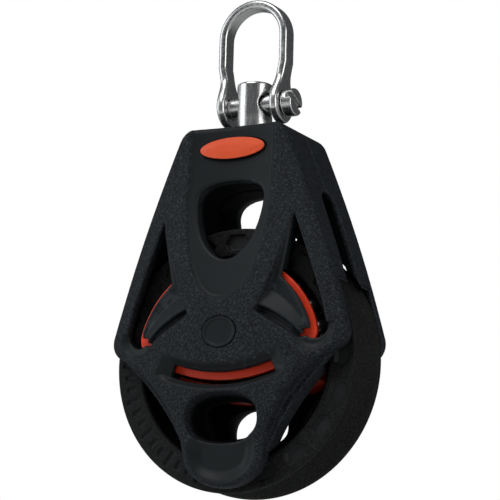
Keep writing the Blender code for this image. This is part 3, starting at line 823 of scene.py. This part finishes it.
def make_sheave():
    rim_edge = SHEAVE_RADIUS - 0.3
    profile = sheave_profile(rim_edge)
    segments, count = 720, len(profile)
    r, y = profile[:, 0][None, :], profile[:, 1][None, :]
    a = (2.0 * pi * np.arange(segments) / segments)[:, None]
    pressed = np.zeros((segments, count))
    for side in (-1, 1):
        on_face = (np.abs(y - side * SHEAVE_HALF) < 1e-6) & (r > BORE_RADIUS + 0.2) & (r < rim_edge - 0.05)
        pressed += np.where(on_face, rim_pocket(r, a, side), 0.0) * -side
    bevel = np.clip((BORE_RADIUS + 0.4 - r) / 0.4, 0.0, 1.0) * 0.25
    width = y + pressed
    width = width - np.sign(y) * bevel * (np.abs(y) > SHEAVE_HALF - 0.01)
    points = np.stack([r * np.cos(a), width, r * np.sin(a)], -1).reshape(-1, 3)
    i, j = np.meshgrid(np.arange(segments), np.arange(count), indexing="ij")
    k, m = (i + 1) % segments, (j + 1) % count
    quads = np.stack([i * count + j, i * count + m, k * count + m, k * count + j], -1).reshape(-1, 4)
    polished = np.clip(np.abs(pressed).reshape(-1) / 0.4, 0.0, 1.0)
    # Painted shade: the bore is marked "inner" to be darkened.
    inner = ease((BORE_RADIUS + 0.5 - np.hypot(points[:, 0], points[:, 2])) / 0.5)
    piece = new_piece("sheave_wheel", points, quads, WHEEL, "sheave", "sheave",
                      {"polished": polished, "inner": inner})
    face_outwards(piece)


def face_outwards(piece):
    bm = bmesh.new()
    bm.from_mesh(piece.data)
    bmesh.ops.recalc_face_normals(bm, faces=bm.faces)
    bm.to_mesh(piece.data)
    bm.free()


# ---- Bearing ----

def plate_piece(name, outline, d_from, d_to, material, body, replaces, bevel):
    """An outline in the XZ plane extruded along Y, with rounded edges."""
    bm = bmesh.new()
    rings = []
    for y in (d_from, d_to):
        rings.append([bm.verts.new(Vector((x, y, z + CENTRE_Z)) * MM) for x, z in outline])
    count = len(outline)
    for i in range(count):
        j = (i + 1) % count
        bm.faces.new((rings[0][i], rings[0][j], rings[1][j], rings[1][i]))
    bm.faces.new(rings[0])
    bm.faces.new(rings[1])
    bmesh.ops.recalc_face_normals(bm, faces=bm.faces)
    mesh = bpy.data.meshes.new(name)
    bm.to_mesh(mesh)
    bm.free()
    mesh.shade_smooth()
    piece = bpy.data.objects.new(name, mesh)
    bpy.context.scene.collection.objects.link(piece)
    rounding = piece.modifiers.new("rounding", "BEVEL")
    rounding.width = bevel * MM
    rounding.segments = 3
    rounding.limit_method = "ANGLE"
    rounding.angle_limit = radians(50.0)
    rounding.harden_normals = True
    return dress(piece, material, body, replaces)


def make_bearing():
    core = d_outline(-BALL_RADIUS - RACE_CLEARANCE)
    plate_piece("inner_race", core, -CORE_D, CORE_D, RED, "block", "race_core", 0.2)
    for name, side in (("front", -1), ("rear", 1)):
        near, far = sorted((side * FLANGE_D[0], side * FLANGE_D[1]))
        rim = [(x, min(z, RACE_TOP)) for x, z in d_outline(FLANGE_LIP)]
        plate_piece(f"{name}_race_lip", rim, near, far, RED, "block",
                    f"{name}_race_flange", 0.14)
    plate_piece("return_rail", guide_outline(), -GUIDE_D, GUIDE_D, RED, "block",
                "ball_guide", 0.2)
    bm = bmesh.new()
    bmesh.ops.create_icosphere(bm, subdivisions=4, radius=BALL_RADIUS * MM)
    shape = bpy.data.meshes.new("ball")
    bm.to_mesh(shape)
    bm.free()
    shape.shade_smooth()
    for name in sorted(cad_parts):
        if "_ball_" not in name:
            continue
        low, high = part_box(name)
        piece = bpy.data.objects.new(f"{name}_round", shape)
        bpy.context.scene.collection.objects.link(piece)
        piece.location = (low + high) / 2.0
        dress(piece, BALL, "block", name)


# ---- Trim ----

def make_trim():
    step, thick = 0.08, 0.38

    def badge(x, d, z):
        edge = polygon_distance(x, z, BADGE)
        dome = 0.12 * ease(-edge / 1.2)
        return blend_max(edge, np.maximum(d - BADGE_D + 0.12 - dome, BADGE_D - thick - d), 0.12)

    def disc(x, d, z):
        edge = polygon_distance(x, z, DISC)
        bowl = 0.16 * ease(-(edge + 0.25) / 0.25)
        return blend_max(edge, np.maximum(d - HUB_D + bowl, HUB_D - thick - d), 0.1)

    jobs = [("badge", badge, BADGE_Z, BADGE_HALF, BADGE_D, BADGE_RED, "badge_red", "badge"),
            ("hub_oval", disc, DISC_Z, DISC_HALF, HUB_D, BLACK, "black_nylon", "hub_disc")]
    for label, distance, middle, half, top, material, slot, replaced in jobs:
        low = (-half[0] - 0.2, top - 0.6, middle - half[1] - 0.2)
        high = (half[0] + 0.2, top + 0.2, middle + half[1] + 0.2)
        points, quads = mesh_of(distance, low, high, step)
        for name, side in (("front", -1), ("rear", 1)):
            placed = points * np.array([1.0, side, 1.0])
            faces = quads if side > 0 else quads[:, ::-1]
            new_piece(f"{name}_{label}", placed, faces, material, "block", f"{name}_{replaced}",
                      {"polished": np.ones(len(points))})


# ---- Steel ----

def make_screws():
    for name in ("head_screw_left", "head_screw_right", "hub_screw"):
        low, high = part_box(name)
        middle, radius = (low + high) / 2.0 / MM, (high.x - low.x) / 2.0 / MM
        level = middle.z - CENTRE_Z
        top, end = high.y / MM, low.y / MM

        def screw(x, y, z):
            around = np.hypot(x - middle.x, z - level)
            head = blend_max(around - radius, np.maximum(y - top, top - SCREW_HEAD_THICK - y), 0.3)
            shank = np.maximum(around - SCREW_SHANK, np.maximum(y - top + 0.5, end - y))
            slot = np.maximum(np.abs(z - level) - DRIVE_SLOT / 2.0, top - 0.5 - y)
            return np.maximum(np.minimum(head, shank), -slot)

        low_mm = (middle.x - radius - 0.2, end - 0.2, level - radius - 0.2)
        high_mm = (middle.x + radius + 0.2, top + 0.2, level + radius + 0.2)
        points, quads = mesh_of(screw, low_mm, high_mm, 0.13)
        new_piece(f"{name}_turned", points, quads, STEEL_FORGED, "block", name)


def post_distance(x, y, z):
    around = np.hypot(x, y)
    barrel = blend_max(around - POST_RADIUS, np.maximum(z - POST_TOP, POST_BARREL_FROM - z), 0.45)
    neck = np.maximum(around - POST_NECK, np.maximum(z - POST_BARREL_FROM - 0.9, POST_END - z))
    solid = np.minimum(barrel, neck)
    hole = CROSS_HOLE - np.hypot(y, z - PIN_Z)
    return blend_max(solid, hole, 0.4)


def bow_path():
    """The middle of the bow's strip, from the right eye over the top to the left eye."""
    mid = BOW_HALF - BOW_THICK / 2.0
    eye_x = EYE_OUTER - BOW_THICK / 2.0
    top = BOW_TOP - BOW_THICK / 2.0 - mid
    leg = [(eye_x, PIN_Z - EYE_RADIUS - 1.0), (eye_x, PIN_Z + EYE_RADIUS * 0.4)]
    bend = bezier(leg[-1], (eye_x + 0.05, PIN_Z + EYE_RADIUS + 0.2), (mid, PIN_Z + EYE_RADIUS + 3.4), 10)[1:]
    over = arc((0.0, top), mid, 0, 90, 30)
    return leg + bend + over


def path_distance(x, z, path):
    """Distance from a point to an open path."""
    nearest = np.full(np.broadcast(x, z).shape, 1e9)
    for (ax, az), (bx, bz) in zip(path, path[1:]):
        ex, ez = bx - ax, bz - az
        t = np.clip(((x - ax) * ex + (z - az) * ez) / (ex * ex + ez * ez), 0.0, 1.0)
        nearest = np.minimum(nearest, (x - ax - ex * t) ** 2 + (z - az - ez * t) ** 2)
    return np.sqrt(nearest)


BOW_PATH = bow_path()


def rounded_meet(a, b, radius):
    """Where both distances are negative, with the edge between them rounded."""
    outside = np.hypot(np.maximum(a + radius, 0.0), np.maximum(b + radius, 0.0))
    return outside + np.minimum(np.maximum(a, b) + radius, 0.0) - radius


def bow_distance(x, y, z):
    sheet = path_distance(np.abs(x), z, BOW_PATH) - BOW_THICK / 2.0
    eye = np.hypot(y, z - PIN_Z) - EYE_RADIUS
    strap = np.maximum(np.abs(y) - BOW_DEPTH / 2.0, PIN_Z - z)
    side = blend_min(strap, eye, 2.2)
    solid = rounded_meet(sheet, side, 0.52)
    hole = np.where(z < PIN_Z + EYE_RADIUS, PIN_RADIUS + 0.15 - np.hypot(y, z - PIN_Z), -1.0)
    return blend_max(solid, hole, 0.25)


def pin_distance(x, y, z):
    around = np.hypot(y, z - PIN_Z)
    shank = blend_max(around - PIN_RADIUS, np.maximum(x - EYE_OUTER - 0.6, PIN_END - x), 0.3)
    head_from = EYE_OUTER + 0.12
    head = blend_max(around - PIN_HEAD_RADIUS, np.maximum(x - PIN_HEAD_END, head_from - x), 0.35)
    solid = np.minimum(shank, head)
    across = (z - PIN_Z) * cos(PIN_TURN) - y * sin(PIN_TURN)
    slot = np.maximum(np.abs(across) - PIN_SLOT[0] / 2.0, PIN_HEAD_END - PIN_SLOT[1] - x)
    return blend_max(solid, -slot, 0.12)


def make_steel():
    jobs = [
        ("post_barrel", post_distance, (POST_RADIUS, POST_RADIUS), (POST_END, POST_TOP), 0.13, STEEL_UP,
         "swivel_post", "swivel_post"),
        ("bow_strap", bow_distance, (BOW_HALF, EYE_RADIUS), (PIN_Z - EYE_RADIUS, BOW_TOP), 0.14, STEEL_FORGED,
         "shackle", "shackle_bow"),
    ]
    for name, distance, (half_x, half_y), (z_low, z_high), step, material, body, replaced in jobs:
        low = (-half_x - 0.4, -half_y - 0.4, z_low - 0.4)
        high = (half_x + 0.4, half_y + 0.4, z_high + 0.4)
        points, quads = mesh_of(distance, low, high, step)
        new_piece(name, points, quads, material, body, replaced)
    reach = PIN_HEAD_RADIUS + 0.3
    low, high = (PIN_END - 0.3, -reach, PIN_Z - reach), (PIN_HEAD_END + 0.3, reach, PIN_Z + reach)
    points, quads = mesh_of(pin_distance, low, high, 0.11)
    new_piece("pin_turned", points, quads, STEEL_ACROSS, "shackle", "shackle_pin")
    for name in ("thrust_washer", "post_nut"):
        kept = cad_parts[name]
        kept.data.materials.clear()
        kept.data.materials.append(STEEL_UP)


# ---- Stage ----

def make_stage():
    bm = bmesh.new()
    bmesh.ops.create_grid(bm, x_segments=1, y_segments=1, size=3.0)
    mesh = bpy.data.meshes.new("floor")
    bm.to_mesh(mesh)
    bm.free()
    floor = bpy.data.objects.new("floor", mesh)
    bpy.context.scene.collection.objects.link(floor)
    floor.location = (0.0, 0.0, cad_low.z - FLOOR_BELOW)
    pale, tree, shader = new_material("pale_floor", Roughness=0.9)
    clouds = noise(tree, 2.0, 2.0)
    tree.links.new(ramp(tree, clouds, [(0.3, (0.86, 0.86, 0.86)), (0.7, (0.89, 0.89, 0.89))]),
                   shader.inputs["Base Color"])
    mesh.materials.append(pale)


def make_lights():
    """Large soft lights at the left, right and above in front of the block, in dim surroundings."""
    around_object((-58.0, 12.0), 0.75, (0.52, 0.62), 1.6, "left_softbox", (0.93, 0.97, 1.0))
    around_object((74.0, 4.0), 0.70, (0.34, 0.62), 2.4, "right_strip", (1.0, 0.99, 0.98))
    around_object((-8.0, 56.0), 0.75, (0.55, 0.45), 3.2, "front_overhead", (1.0, 1.0, 1.0))
    world = bpy.data.worlds.new("studio")
    bpy.context.scene.world = world
    world.use_nodes = True
    tree = world.node_tree
    tree.nodes.clear()
    path = tree.nodes.new("ShaderNodeLightPath")
    seen = node(tree, "ShaderNodeBackground", Color=(1.0, 1.0, 1.0, 1.0), Strength=1.0)
    around = node(tree, "ShaderNodeBackground", Color=(0.9, 0.95, 1.0, 1.0), Strength=0.07)
    choose = tree.nodes.new("ShaderNodeMixShader")
    output = tree.nodes.new("ShaderNodeOutputWorld")
    tree.links.new(path.outputs["Is Camera Ray"], choose.inputs["Fac"])
    tree.links.new(around.outputs["Background"], choose.inputs[1])
    tree.links.new(seen.outputs["Background"], choose.inputs[2])
    tree.links.new(choose.outputs["Shader"], output.inputs["Surface"])
    bpy.context.scene.view_settings.view_transform = "Standard"


def direction_to(azimuth, elevation):
    """A unit vector away from the block: azimuth from the front towards the right, elevation upwards."""
    return Vector((sin(azimuth) * cos(elevation), -cos(azimuth) * cos(elevation), sin(elevation)))


def around_object(direction, distance, size, radiance, name, colour):
    """A rectangular light seen from the block at an azimuth and elevation given in degrees."""
    away = direction_to(radians(direction[0]), radians(direction[1]))
    light = bpy.data.lights.new(name, "AREA")
    light.shape = "RECTANGLE"
    light.size, light.size_y = size
    light.energy = radiance * pi * size[0] * size[1]
    light.color = colour
    lamp = bpy.data.objects.new(name, light)
    bpy.context.scene.collection.objects.link(lamp)
    lamp.location = LIGHT_TARGET + away * distance
    lamp.rotation_euler = away.to_track_quat("Z", "Y").to_euler()


def make_camera():
    """A long lens to the right of the block's front and below it, looking slightly up."""
    back = direction_to(CAMERA_AZIMUTH, CAMERA_ELEVATION)
    right = (-back).cross(Vector((0, 0, 1))).normalized()
    up = right.cross(-back)
    turned_right = right * cos(CAMERA_ROLL) + up * sin(CAMERA_ROLL)
    turned_up = up * cos(CAMERA_ROLL) - right * sin(CAMERA_ROLL)
    data = bpy.data.cameras.new("camera")
    data.sensor_width = 36.0
    data.lens = LENS
    data.clip_start, data.clip_end = 0.01, 20.0
    camera = bpy.data.objects.new("camera", data)
    bpy.context.scene.collection.objects.link(camera)
    camera.location = CAMERA_PLACE
    axes = Matrix((turned_right, turned_up, back)).transposed()
    camera.rotation_euler = axes.to_euler()
    bpy.context.scene.camera = camera


make_camera()
make_stage()
make_lights()
make_cheeks()
make_sheave()
make_bearing()
make_trim()
make_screws()
make_steel()
